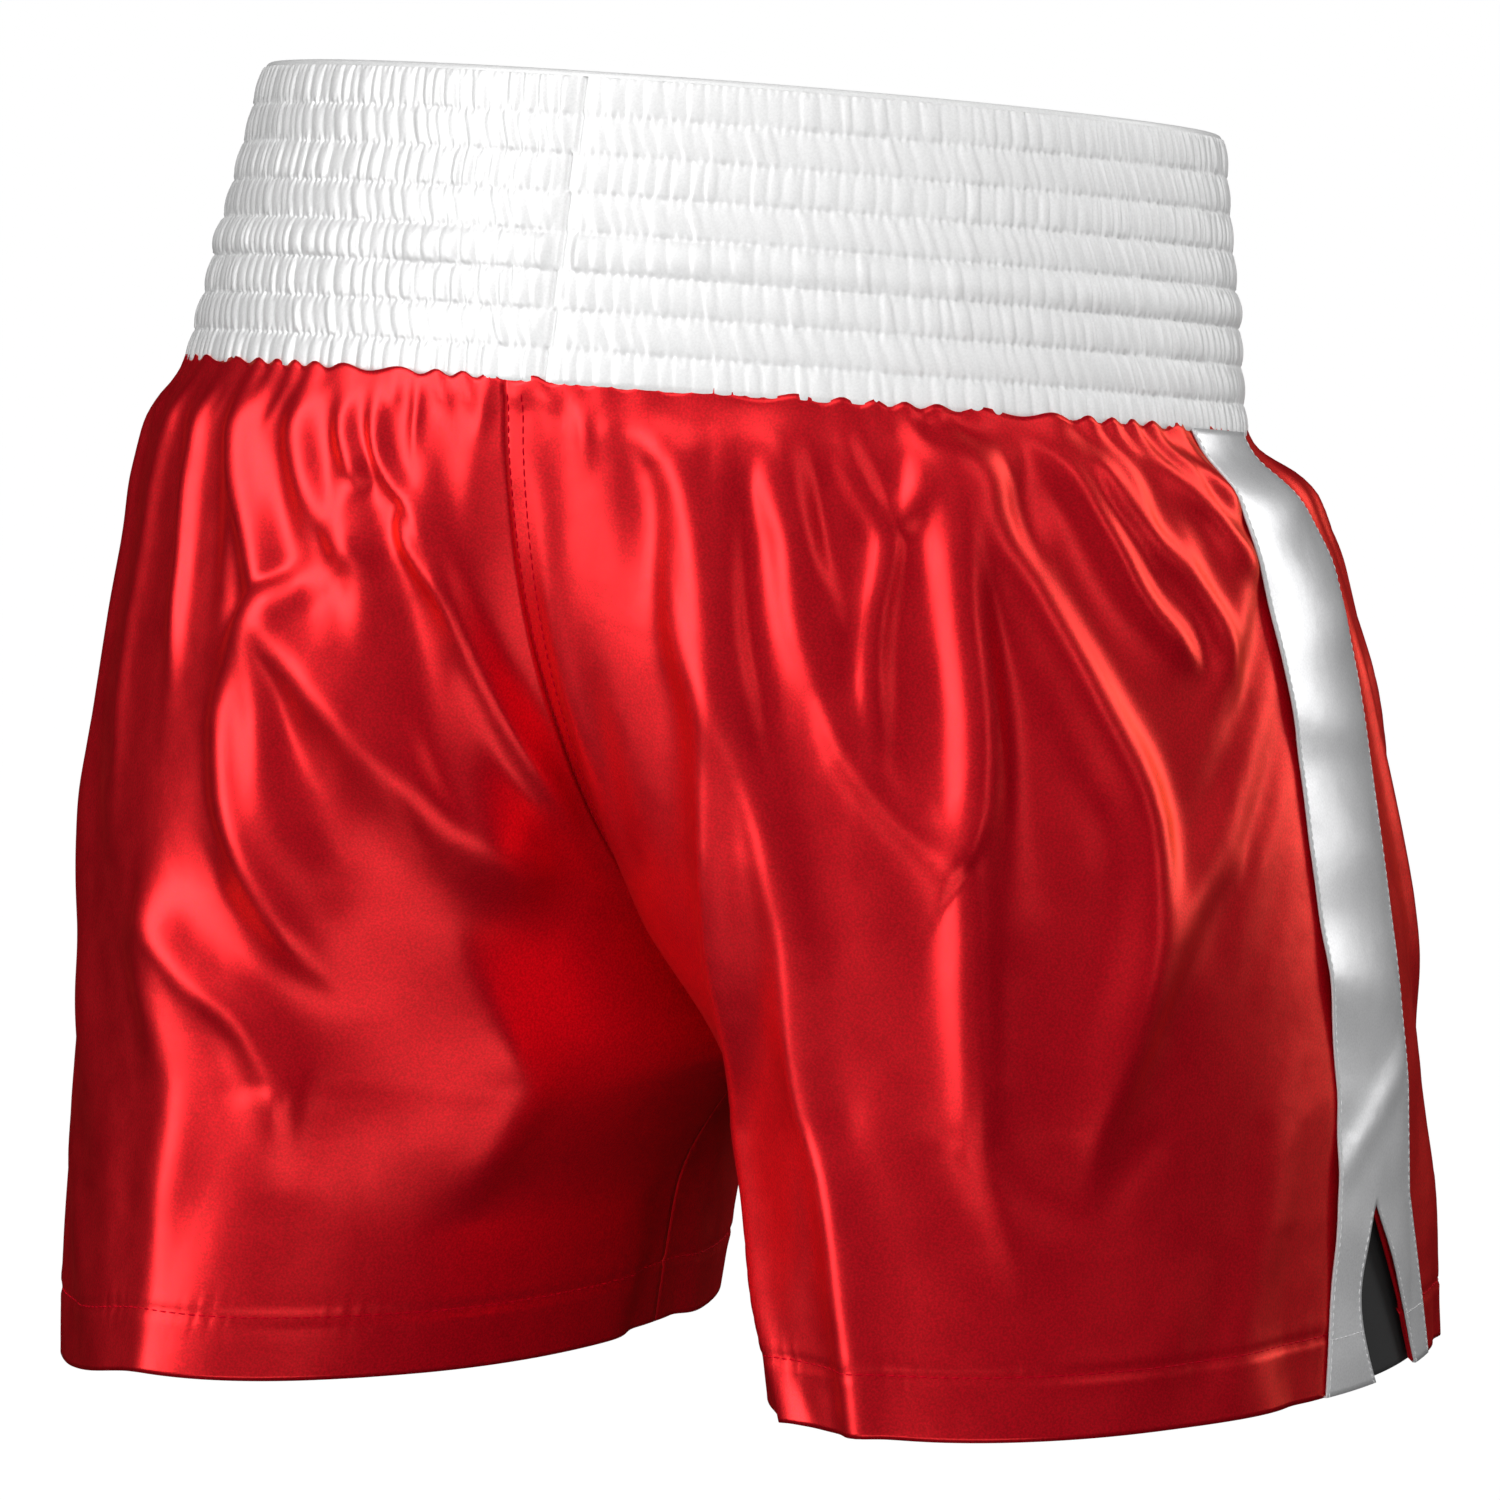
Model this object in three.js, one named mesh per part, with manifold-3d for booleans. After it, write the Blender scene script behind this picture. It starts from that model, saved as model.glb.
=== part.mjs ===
// Satin boxing shorts: a tall elasticated waistband, four body panels, two side stripes that are
// split by a vent at the hem, and a dark inset behind each vent.
//
// Millimetres, +Z up. The origin is the centre of the waist opening. The wearer faces -Y, so the
// wearer's left is +X and the back of the shorts is at +Y. Each cloth piece is a closed thin shell
// laid on one curved garment surface, and seams keep a small gap between neighbouring pieces.

import * as THREE from 'three';
import { mergeVertices } from 'three/addons/utils/BufferGeometryUtils.js';
import Module from 'manifold-3d';

const wasm = await Module();
wasm.setup();

// ---------------------------------------------------------------- driving dimensions
const CLOTH = 1.2;                 // cloth thickness, satin with its turned seams
const GAP = 0.3;                   // clearance between neighbouring pieces
const AROUND = 48;                 // facets round the whole garment
const TRIM_FACETS = 6;             // facets across a stripe or an inset

const BAND = {                     // waistband, seen as a slightly tapering oval ring
  height: 96,                      // from the top fold to the seam with the body
  channels: 8,                     // elastic channels, one above another
  foldHeight: 1.8,                 // how far the top fold stands above the first channel
  wallOffset: 1.0,                 // from the middle surface to the inside of each wall
  bulge: 1.3,                      // how far each channel swells outwards
  top: { halfWidth: 154, halfDepth: 125, centreY: 6, tilt: 0.16 },
  bottom: { halfWidth: 171, halfDepth: 134, centreY: 24, tilt: 0.14 },
};
const ELASTIC = { height: 7, thickness: 1.2 };

const TUCK = 2;                    // body cloth held between the two walls of the waistband
const SEAM_Z = -BAND.height;       // seam of the waistband with the body
const CROTCH_Z = -300;             // lowest point of the centre seam
const HEM_Z = -392;                // hem at the middle of each leg
const LEG_SPREAD = 32;             // inner side of each leg at the hem, from the centre plane

// The oval of the waistband's middle surface, from 0 at the top fold to 1 at the body seam.
const mix = (a, b, t) => a + (b - a) * t;
const mixOvals = (a, b, t) => ({
  halfWidth: mix(a.halfWidth, b.halfWidth, t),
  halfDepth: mix(a.halfDepth, b.halfDepth, t),
  centreY: mix(a.centreY, b.centreY, t),
  tilt: mix(a.tilt, b.tilt, t),
});
const bandOval = down => mixOvals(BAND.top, BAND.bottom, down);

// Ovals of the body at its main heights. Below the waist the two halves turn into two legs.
const LEVELS = [
  { z: SEAM_Z + TUCK, ...bandOval(1 - TUCK / BAND.height) },
  { z: SEAM_Z, ...bandOval(1) },
  { z: -100, halfWidth: 173.5, halfDepth: 136, centreY: 22, tilt: 0.14 },
  { z: -112, halfWidth: 187, halfDepth: 143, centreY: 15, tilt: 0.13 },
  { z: -132, halfWidth: 195, halfDepth: 146, centreY: 10, tilt: 0.12 },
  { z: -170, halfWidth: 202, halfDepth: 147, centreY: 7, tilt: 0.08 },
  { z: -222, halfWidth: 209, halfDepth: 147, centreY: 4, tilt: 0.03 },
  { z: -260, halfWidth: 213, halfDepth: 147, centreY: -1, tilt: 0.015 },
  { z: CROTCH_Z, halfWidth: 216, halfDepth: 147, centreY: -6, tilt: 0 },
  { z: HEM_Z, halfWidth: 216, halfDepth: 155, centreY: -13, tilt: -0.02 },
];
const RISE_POWER = 1.2;            // shape of the centre seam between the waist and the crotch
const ARCH_POWER = 0.45;           // shape of the arch between the legs, from the crotch to the hem

// The stripe's back and front edges, as lengths from the side line, at the waist and below the gathers.
const STRIPE = { waistBack: 18, waistFront: 26, back: 26, front: 38, gatherDepth: 36 };
// The vent gapes forwards: its back edge bows backwards, and its front edge swings to the front.
const VENT = { height: 56, topHalfWidth: 1.6, backBow: 10, bowHeight: 28, frontSwing: 40 };
const INSET = { back: 18, front: 52, above: 12, offset: -2.2 };

// ---------------------------------------------------------------- materials
const COLOURS = {
  redSatin: { color: 0xb8001e, roughness: 0.35, metalness: 0 },
  whiteSatin: { color: 0xf2f2f2, roughness: 0.4, metalness: 0 },
  greySatin: { color: 0xd8d8da, roughness: 0.4, metalness: 0 },
  elastic: { color: 0xe6e6e2, roughness: 0.9, metalness: 0 },
  charcoal: { color: 0x2d2d2d, roughness: 0.8, metalness: 0 },
};
const shorts = new THREE.Group();

function addPiece(name, geometry, colours) {
  const material = new THREE.MeshStandardMaterial({ ...colours, side: THREE.DoubleSide });
  const mesh = new THREE.Mesh(geometry, material);
  mesh.name = name;
  shorts.add(mesh);
}

// ---------------------------------------------------------------- closed meshes
// Builds an indexed geometry from a list of Vector3 points and a list of triangles.
function geometryFrom(points, triangles) {
  const geometry = new THREE.BufferGeometry();
  geometry.setAttribute('position', new THREE.Float32BufferAttribute(points.flatMap(p => p.toArray()), 3));
  geometry.setIndex(triangles.flat());
  geometry.computeVertexNormals();
  return geometry;
}

// A closed shell between two grids of the same size: the faces of both and a wall round the edge.
function shellBetween(outer, inner) {
  const rows = outer.length;
  const columns = outer[0].length;
  const points = [...outer.flat(), ...inner.flat()];
  const front = (i, j) => i * columns + j;
  const back = (i, j) => rows * columns + i * columns + j;
  const triangles = [];
  const quad = (a, b, c, d) => triangles.push([a, b, c], [a, c, d]);
  for (let i = 0; i < rows - 1; i++) {
    for (let j = 0; j < columns - 1; j++) {
      quad(front(i, j), front(i, j + 1), front(i + 1, j + 1), front(i + 1, j));
      quad(back(i, j), back(i + 1, j), back(i + 1, j + 1), back(i, j + 1));
    }
  }
  for (let i = 0; i < rows - 1; i++) {
    quad(front(i, 0), front(i + 1, 0), back(i + 1, 0), back(i, 0));
    quad(front(i, columns - 1), back(i, columns - 1), back(i + 1, columns - 1), front(i + 1, columns - 1));
  }
  for (let j = 0; j < columns - 1; j++) {
    quad(front(0, j), back(0, j), back(0, j + 1), front(0, j + 1));
    quad(front(rows - 1, j), front(rows - 1, j + 1), back(rows - 1, j + 1), back(rows - 1, j));
  }
  return geometryFrom(points, triangles);
}

// A closed ring: a closed section repeated all the way round.
function ringFrom(sections) {
  const size = sections[0].length;
  const triangles = [];
  sections.forEach((section, i) => {
    const next = (i + 1) % sections.length;
    for (let j = 0; j < size; j++) {
      const k = (j + 1) % size;
      triangles.push([i * size + j, next * size + j, next * size + k]);
      triangles.push([i * size + j, next * size + k, i * size + k]);
    }
  });
  return geometryFrom(sections.flat(), triangles);
}

function toManifold(geometry) {
  const bare = geometry.clone();
  bare.deleteAttribute('normal');
  bare.deleteAttribute('uv');
  const merged = mergeVertices(bare, 1e-4);
  const vertProperties = new Float32Array(merged.attributes.position.array);
  const triVerts = new Uint32Array(merged.index.array);
  return new wasm.Manifold(new wasm.Mesh({ numProp: 3, vertProperties, triVerts }));
}

function cutBy(geometry, cutter) {
  const mesh = toManifold(geometry).subtract(toManifold(cutter)).getMesh();
  const cut = new THREE.BufferGeometry();
  cut.setAttribute('position', new THREE.Float32BufferAttribute(mesh.vertProperties, 3));
  cut.setIndex(Array.from(mesh.triVerts));
  cut.computeVertexNormals();
  return cut;
}

// ---------------------------------------------------------------- waistband
// A point of the waistband: down runs from 0 at the top fold to 1 at the body seam, angle from 0 at
// the centre back, and offset is measured outwards from the middle of the band.
function bandPoint(down, angle, offset) {
  const { halfWidth, halfDepth, centreY, tilt } = bandOval(down);
  const outwards = new THREE.Vector2(Math.sin(angle) / halfWidth, Math.cos(angle) / halfDepth).normalize();
  const x = halfWidth * Math.sin(angle);
  const y = centreY + halfDepth * Math.cos(angle);
  const z = -BAND.height * down + tilt * y;
  return new THREE.Vector3(x + offset * outwards.x, y + offset * outwards.y, z);
}

// Repeats a section, given as [down, offset] pairs, round the waist.
function bandRing(section) {
  const sections = [];
  for (let i = 0; i < AROUND; i++) {
    const angle = (2 * Math.PI * i) / AROUND;
    sections.push(section.map(([down, offset]) => bandPoint(down, angle, offset)));
  }
  return ringFrom(sections);
}

// The cover is one strip of satin folded over at the top: an outer wall with the swollen channels,
// a plain inner wall, and the hollow between them, which is open at the bottom.
function waistbandCover() {
  const { channels, wallOffset, bulge, foldHeight, height } = BAND;
  const inside = wallOffset;
  const outside = wallOffset + CLOTH;
  const fold = foldHeight / height;
  const section = [[1, inside], [1, outside]];
  for (let k = channels; k > 0; k--) {
    section.push([(k - 0.5) / channels, outside + bulge], [(k - 1) / channels, outside]);
  }
  section.push([-fold, inside], [-fold, -inside], [0, -outside], [1, -outside], [1, -inside]);
  section.push([0, -inside], [0, inside]);
  return bandRing(section.reverse());
}

function elasticRing(channel) {
  const middle = (channel + 0.5) / BAND.channels;
  const half = ELASTIC.height / 2 / BAND.height;
  const side = ELASTIC.thickness / 2;
  const above = middle - half;
  const below = middle + half;
  return bandRing([[above, side], [below, side], [below, -side], [above, -side]]);
}

// ---------------------------------------------------------------- body surface
function levelAt(z) {
  const passed = LEVELS.filter(level => level.z > z).length;
  const i = Math.min(Math.max(passed, 1), LEVELS.length - 1);
  const from = LEVELS[i - 1];
  const to = LEVELS[i];
  return mixOvals(from, to, (z - from.z) / (to.z - from.z));
}

// How one half of the body closes round its leg at a height. The half is an arc of an oval: half of
// it at the waist, where it ends at the centre seams, and all of it at and below the crotch.
function legOval(z, level) {
  if (z < CROTCH_Z) {
    const inner = LEG_SPREAD * ((CROTCH_Z - z) / (CROTCH_Z - HEM_Z)) ** ARCH_POWER;
    const radius = (level.halfWidth - inner) / 2;
    return { radius, centreX: inner + radius, reach: Math.PI };
  }
  const fall = Math.max(SEAM_Z - z, 0) / (SEAM_Z - CROTCH_Z);
  const closed = Math.sin((Math.PI / 2) * fall ** RISE_POWER);
  const radius = level.halfWidth / (1 + closed);
  return { radius, centreX: closed * radius, reach: Math.acos(-closed) };
}

// A point on the left half of the body: along runs from 0 at the centre back, over 0.5 at the side,
// to 1 at the centre front, and below the crotch from the inseam round to the inseam.
function surfacePoint(z, along) {
  const level = levelAt(z);
  const { radius, centreX, reach } = legOval(z, level);
  const angle = reach * (1 - 2 * along);
  const x = centreX + radius * Math.cos(angle) + GAP / 2;
  const y = level.centreY + level.halfDepth * Math.sin(angle);
  return new THREE.Vector3(x, y, z + level.tilt * y);
}

function offsetPoint(z, along, offset) {
  const step = 0.002;
  const here = surfacePoint(z, along);
  const alongTangent = surfacePoint(z, along + step).sub(surfacePoint(z, along - step));
  const downTangent = surfacePoint(z - 1, along).sub(surfacePoint(z + 1, along));
  const outwards = alongTangent.cross(downTangent).normalize();
  here.addScaledVector(outwards, offset);
  here.x = Math.max(here.x, GAP / 2);       // the halves never cross the centre plane
  return here;
}

// A shell of the body between two offsets. alongAt gives the list of along values at each height.
function bodyShell(heights, alongAt, outerOffset, innerOffset) {
  const grid = offset => heights.map(z => alongAt(z).map(along => offsetPoint(z, along, offset)));
  return shellBetween(grid(outerOffset), grid(innerOffset));
}

const range = (from, to, steps) => Array.from({ length: steps + 1 }, (_, i) => mix(from, to, i / steps));
const BODY_HEIGHTS = [
  ...LEVELS.slice(0, 6).map(level => level.z),
  -196, -222, -241, -260, -280, CROTCH_Z, -304, -311, -323, -346, -369, HEM_Z,
];

// Turns a length along the cloth at the side into a step of the along value.
function alongStep(z, length) {
  const level = levelAt(z);
  return length / (2 * legOval(z, level).reach * level.halfDepth);
}

function panel(from, to) {
  const edge = z => alongStep(z, GAP / 2);
  const alongAt = z => range(from + edge(z), to - edge(z), AROUND / 4);
  return bodyShell(BODY_HEIGHTS, alongAt, CLOTH / 2, -CLOTH / 2);
}

// How far the front edge of the vent has swung forwards at a height: nothing above the vent's top.
function frontSwing(z) {
  const t = Math.min(Math.max((HEM_Z + VENT.height - z) / VENT.height, 0), 1);
  return VENT.frontSwing * t;
}

// The stripe is sewn on top of the side seam. It is gathered narrower where it meets the waistband,
// and below the vent's top its front edge swings forwards with the front edge of the vent.
function sideStripe() {
  const heights = BODY_HEIGHTS.slice(2);
  const alongAt = z => {
    const gathered = Math.min((SEAM_Z - z) / STRIPE.gatherDepth, 1);
    const back = mix(STRIPE.waistBack, STRIPE.back, gathered);
    const front = mix(STRIPE.waistFront, STRIPE.front, gathered) + 0.5 * frontSwing(z);
    return range(0.5 - alongStep(z, back), 0.5 + alongStep(z, front), TRIM_FACETS);
  };
  const under = CLOTH / 2 + GAP;
  return bodyShell(heights, alongAt, under + CLOTH, under);
}

// The inset lies behind the vent, inside the panels.
function ventInset() {
  const heights = range(HEM_Z + VENT.height + INSET.above, HEM_Z + GAP, TRIM_FACETS);
  const alongAt = z => {
    const front = mix(INSET.back, INSET.front, frontSwing(z) / VENT.frontSwing);
    return range(0.5 - alongStep(z, INSET.back), 0.5 + alongStep(z, front), TRIM_FACETS);
  };
  return bodyShell(heights, alongAt, INSET.offset, INSET.offset - CLOTH);
}

// The vent as a solid: a leaf-shaped outline, blunt at its top, through the side. Its outline is
// drawn with the front to the right.
function ventCutter() {
  const { height, topHalfWidth, backBow, bowHeight, frontSwing: front } = VENT;
  const seat = surfacePoint(HEM_Z, 0.5);
  const pastHem = 8;
  const depth = 30;
  const outline = new THREE.Shape();
  outline.moveTo(0, -pastHem);
  outline.lineTo(0, 0);
  outline.quadraticCurveTo(-2 * backBow, bowHeight, -topHalfWidth, height);
  outline.lineTo(topHalfWidth, height);
  outline.lineTo(front, 0);
  outline.lineTo(front, -pastHem);
  const solid = new THREE.ExtrudeGeometry(outline, { depth, bevelEnabled: false, curveSegments: 5 });
  solid.translate(0, 0, -depth / 2);
  solid.rotateX(Math.PI / 2);
  solid.rotateZ(-Math.PI / 2);
  solid.translate(seat.x, seat.y, seat.z);
  return solid;
}

// The same piece on the wearer's right side.
function mirrored(geometry) {
  const other = geometry.clone();
  other.scale(-1, 1, 1);
  const index = Array.from(other.index.array);
  for (let i = 0; i < index.length; i += 3) {
    [index[i + 1], index[i + 2]] = [index[i + 2], index[i + 1]];
  }
  other.setIndex(index);
  other.computeVertexNormals();
  return other;
}

function addPair(name, geometry, colours) {
  addPiece(`${name}_left`, geometry, colours);
  addPiece(`${name}_right`, mirrored(geometry), colours);
}

// ---------------------------------------------------------------- assembly
addPiece('waistband_cover', waistbandCover(), COLOURS.whiteSatin);
for (let channel = 0; channel < BAND.channels; channel++) {
  addPiece(`elastic_${channel + 1}`, elasticRing(channel), COLOURS.elastic);
}

const vent = ventCutter();
addPair('back_panel', cutBy(panel(0, 0.5), vent), COLOURS.redSatin);
addPair('front_panel', cutBy(panel(0.5, 1), vent), COLOURS.redSatin);
addPair('side_stripe', cutBy(sideStripe(), vent), COLOURS.greySatin);
addPair('vent_inset', ventInset(), COLOURS.charcoal);

export default shorts;
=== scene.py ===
"""Satin boxing shorts seen from behind, on the wearer's right, over a pale floor.

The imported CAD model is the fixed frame. Each CAD cloth solid is replaced by a fine cloth mesh laid on
the same oval garment surface: the panels get their drape folds and a cloth simulation, and the
waistband gets its shirred channels. Lengths are in metres unless a name or a comment says otherwise,
and the wearer faces -Y.
"""

import math

import bpy
import numpy as np
from mathutils import Matrix, Vector


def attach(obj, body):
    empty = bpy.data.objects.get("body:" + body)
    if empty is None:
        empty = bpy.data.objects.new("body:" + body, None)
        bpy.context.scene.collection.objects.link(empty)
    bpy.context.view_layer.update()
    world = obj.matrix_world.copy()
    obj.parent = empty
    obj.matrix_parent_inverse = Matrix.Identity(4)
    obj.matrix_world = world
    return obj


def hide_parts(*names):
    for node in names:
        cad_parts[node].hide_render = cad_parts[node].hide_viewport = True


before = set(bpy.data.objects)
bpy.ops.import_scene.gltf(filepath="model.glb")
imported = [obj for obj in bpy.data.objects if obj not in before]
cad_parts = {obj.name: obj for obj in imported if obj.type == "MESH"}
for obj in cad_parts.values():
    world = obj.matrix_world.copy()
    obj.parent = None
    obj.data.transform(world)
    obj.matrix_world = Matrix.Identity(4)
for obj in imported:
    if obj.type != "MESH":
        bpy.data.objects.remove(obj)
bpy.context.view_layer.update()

MM = 0.001

# ---------------------------------------------------------------- the garment surface
# The ovals of the body at its main heights, as the CAD model has them.
SEAM_Z = -0.096
CROTCH_Z = -0.300
HEM_Z = -0.392
CROTCH_DROP = SEAM_Z - CROTCH_Z
LEG_SPREAD = 0.032  # how far the inner side of each leg has moved out at the hem
SPREAD_START = 0.4  # the share of the leg's height over which the spread sets in
RISE_POWER = 1.2
ARCH_POWER = 0.45  # the shape of the arch between the legs: lower is rounder
ARCH_BLEND = 0.6  # how softly the arch runs up into the seat
# Half width, half depth, centre y and tilt of the band at its top and at its seam.
BAND_TOP = (0.154, 0.125, 0.006, 0.16)
BAND_BOTTOM = (0.171, 0.134, 0.024, 0.14)
LEVELS = np.array([  # z, half width, half depth, centre y, tilt
    (-0.090, 0.1699, 0.1334, 0.0229, 0.141),
    (-0.096, 0.171, 0.134, 0.024, 0.14),
    (-0.100, 0.1735, 0.136, 0.022, 0.14),
    (-0.112, 0.187, 0.143, 0.015, 0.13),
    (-0.132, 0.195, 0.146, 0.010, 0.12),
    (-0.170, 0.202, 0.147, 0.007, 0.08),
    (-0.222, 0.209, 0.147, 0.004, 0.03),
    (-0.260, 0.213, 0.147, -0.001, 0.015),
    (CROTCH_Z, 0.216, 0.147, -0.006, 0.0),
    (HEM_Z, 0.216, 0.155, -0.013, -0.02),
])
SMOOTHING = 14  # millimetres of height over which a corner between levels is rounded
CENTRE_GAP = 0.00004  # between each half and the middle plane


def level_table():
    """The level values at every millimetre of depth, with the corners between levels rounded."""
    depth = np.arange(0.09, 0.41, MM)
    rows = [np.interp(depth, -LEVELS[:, 0], LEVELS[:, k]) for k in range(1, 5)]
    kernel = np.hanning(SMOOTHING + 3)[1:-1]
    smooth = []
    for row in rows:
        padded = np.pad(row, SMOOTHING, "reflect", reflect_type="odd")
        smooth.append(np.convolve(padded, kernel / kernel.sum(), "same")[SMOOTHING:-SMOOTHING])
    return depth, smooth


TABLE_Z, TABLE_ROWS = level_table()


def smooth_step(t):
    """0 up to t = 0, 1 from t = 1, and a smooth ramp between."""
    t = np.clip(t, 0, 1)
    return t * t * (3 - 2 * t)


def closure(z):
    """How far the left half's oval has closed towards a tube of its own: 0 at the seam, 1 at the crotch."""
    fall = np.clip((SEAM_Z - z) / CROTCH_DROP, 0, 1)
    return np.clip(np.sin(math.pi / 2 * fall ** RISE_POWER), 0, 1)


def surface(z, along):
    """Points of the left half. z is the level, along runs from 0 at the centre back to 1 at the front."""
    z, along = np.broadcast_arrays(np.asarray(z, float), np.asarray(along, float))
    half_width, half_depth, centre_y, tilt = (np.interp(-z, TABLE_Z, row) for row in TABLE_ROWS)
    closed = closure(z)
    leg = (CROTCH_Z - z) / (CROTCH_Z - HEM_Z)
    below = np.clip(leg, 0, 1)
    eased = LEG_SPREAD * below * smooth_step(below / SPREAD_START)
    radius = (half_width - eased) / (1 + closed)
    centre_x = half_width - radius
    reach = np.arccos(-closed)
    angle = reach * (1 - 2 * along)
    x = centre_x + radius * np.cos(angle) + CENTRE_GAP
    apart = ARCH_BLEND * np.maximum(closed + np.cos(angle), 0)
    opened = np.clip((leg + np.hypot(leg, apart)) / 2, 0, 1)
    x += (LEG_SPREAD * opened ** ARCH_POWER - eased) * smooth_step(-np.cos(angle))
    y = centre_y + half_depth * np.sin(angle)
    return np.stack([x, y, z + tilt * y], -1)


def grid_normals(points):
    """Outward normals of a grid whose rows go down and whose columns go from back to front."""
    down = np.gradient(points, axis=0)
    across = np.gradient(points, axis=1)
    normals = np.cross(across, down)
    return normals / np.maximum(np.linalg.norm(normals, axis=-1, keepdims=True), 1e-12)


# ---------------------------------------------------------------- drape folds
# A fold is a ridge along a path of (along, drop) points: along as in surface(), and drop in
# millimetres below the waist seam. Width and height are in millimetres. ends gives the shares of the
# path over which the fold rises and fades.
def fold(path, width, height, ends=(0.15, 0.3)):
    return {"path": np.array(path, float), "width": width, "height": height, "ends": ends}


RIGHT_BACK_FOLDS = [
    fold([(.060, 2), (.090, 16), (.105, 45), (.120, 78), (.124, 109), (.132, 140), (.140, 166),
          (.145, 200), (.148, 235), (.155, 262), (.175, 300)], 7, 6.5),
    fold([(.085, 30), (.100, 64), (.130, 88), (.154, 110), (.172, 132), (.187, 151), (.206, 185),
          (.232, 214), (.230, 248), (.227, 300)], 8, 7.5),
    fold([(.118, 2), (.113, 26), (.118, 60), (.128, 80), (.145, 100)], 7, 4.0),
    fold([(.130, 3), (.140, 25), (.155, 40), (.168, 52), (.178, 64), (.182, 80)], 8, 4.0),
    fold([(.140, 4), (.148, 30), (.160, 60), (.192, 92), (.225, 109), (.252, 119), (.268, 123)], 8, 5.0,
         ends=(0.15, 0.05)),
    fold([(.170, 2), (.185, 22), (.200, 36), (.198, 56), (.200, 72), (.208, 90), (.217, 108)], 6, 4.0),
    fold([(.228, 2), (.220, 20), (.205, 36)], 5, 3.5),
    fold([(.232, 2), (.236, 18), (.244, 50), (.264, 91), (.268, 121), (.276, 142), (.282, 160),
          (.298, 194), (.308, 223), (.316, 270)], 8, 7.5, ends=(0.15, 0.25)),
    fold([(.250, 2), (.258, 32), (.281, 49), (.320, 78), (.355, 108), (.363, 138), (.360, 172),
          (.354, 206), (.348, 250)], 10, 8.0),
    fold([(.300, 2), (.330, 32), (.350, 48), (.375, 61), (.400, 74)], 6, 3.5),
    fold([(.325, 2), (.360, 30), (.385, 42), (.410, 60), (.420, 84)], 7, 3.5),
    fold([(.370, 2), (.410, 20), (.430, 32), (.455, 46)], 6, 3.0),
    fold([(.400, 2), (.430, 12), (.450, 24)], 4, 2.5),
]
LEFT_BACK_FOLDS = [
    fold([(.215, 2), (.198, 28), (.180, 50), (.174, 67), (.190, 82), (.203, 96), (.206, 112),
          (.205, 127), (.190, 154), (.170, 184)], 9, 6.0, ends=(0.15, 0.12)),
    fold([(.176, 60), (.160, 72), (.147, 79), (.120, 95), (.091, 110), (.056, 130), (.033, 150)], 15, 9.5,
         ends=(0.12, 0.2)),
    fold([(.157, 2), (.150, 20), (.140, 32), (.120, 44), (.101, 52), (.086, 75)], 10, 5.5),
    fold([(.125, 2), (.114, 18), (.096, 34)], 5, 4.0),
    fold([(.100, 2), (.085, 24), (.060, 38), (.042, 56), (.032, 80)], 5, 3.5),
    fold([(.078, 36), (.058, 50), (.041, 62), (.026, 92), (.015, 112), (.007, 130)], 5, 5.5),
    fold([(.300, 140), (.261, 170), (.236, 184), (.230, 200), (.228, 214), (.210, 241)], 9, 5.5),
    fold([(.096, 138), (.106, 166), (.122, 196), (.126, 228), (.118, 250)], 13, 4.5, ends=(0.5, 0.3)),
    fold([(.300, 150), (.285, 190), (.282, 240), (.280, 300)], 16, 4.0),
    fold([(.250, 2), (.255, 30), (.255, 60), (.260, 100)], 7, 3.0),
    fold([(.300, 2), (.310, 40), (.320, 90), (.320, 140)], 9, 3.0),
    fold([(.370, 2), (.380, 50), (.385, 120), (.380, 200)], 10, 3.0),
]


FOLD_SPACING = 0.034  # between the hanging folds of a front panel, as a step of along
BODY_DROP_MM = 300
GATHER_LENGTHS_MM = [8, 11, 15, 20, 28]
BILLOWS = 26
HALF_GIRTH = 0.75  # roughly, from the centre back to the centre front of one half, low on the body
SEAT_EDGE = 0.10  # the billows set in beyond this step of along from the centre seam


def drape_folds(seed):
    """Hanging folds for a front panel: they start at the gathered waist, and each drifts a little."""
    rng = np.random.default_rng(seed)
    folds = []
    for along in np.arange(0.03, 0.47, FOLD_SPACING):
        start = along + rng.uniform(-0.008, 0.008)
        drift = rng.uniform(-0.03, 0.03)
        length = rng.uniform(60, BODY_DROP_MM)
        drops = np.linspace(2, length, 5)
        sway = rng.uniform(-0.01, 0.01, 5).cumsum()
        path = [(start + drift * drop / BODY_DROP_MM + s * 0.5, drop) for drop, s in zip(drops, sway)]
        path = np.clip(path, (0.004, 0), (0.496, 400))
        folds.append(fold(path, rng.uniform(6, 11), rng.uniform(3, 5.5)))
    return folds


def gather_folds(seed):
    """The small pleats under the waist seam."""
    rng = np.random.default_rng(seed)
    folds = []
    along = 0.008
    while along < 0.492:
        length = rng.choice(GATHER_LENGTHS_MM)
        end = along + rng.uniform(-0.014, 0.014)
        path = [(along, 0.5), (0.6 * along + 0.4 * end, length * 0.45), (end, length)]
        path = np.clip(path, (0.003, 0), (0.497, 100))
        folds.append(fold(path, rng.uniform(2.2, 4.0), rng.uniform(1.2, 2.4), ends=(0.05, 0.6)))
        along += rng.uniform(0.013, 0.024)
    return folds


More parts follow.
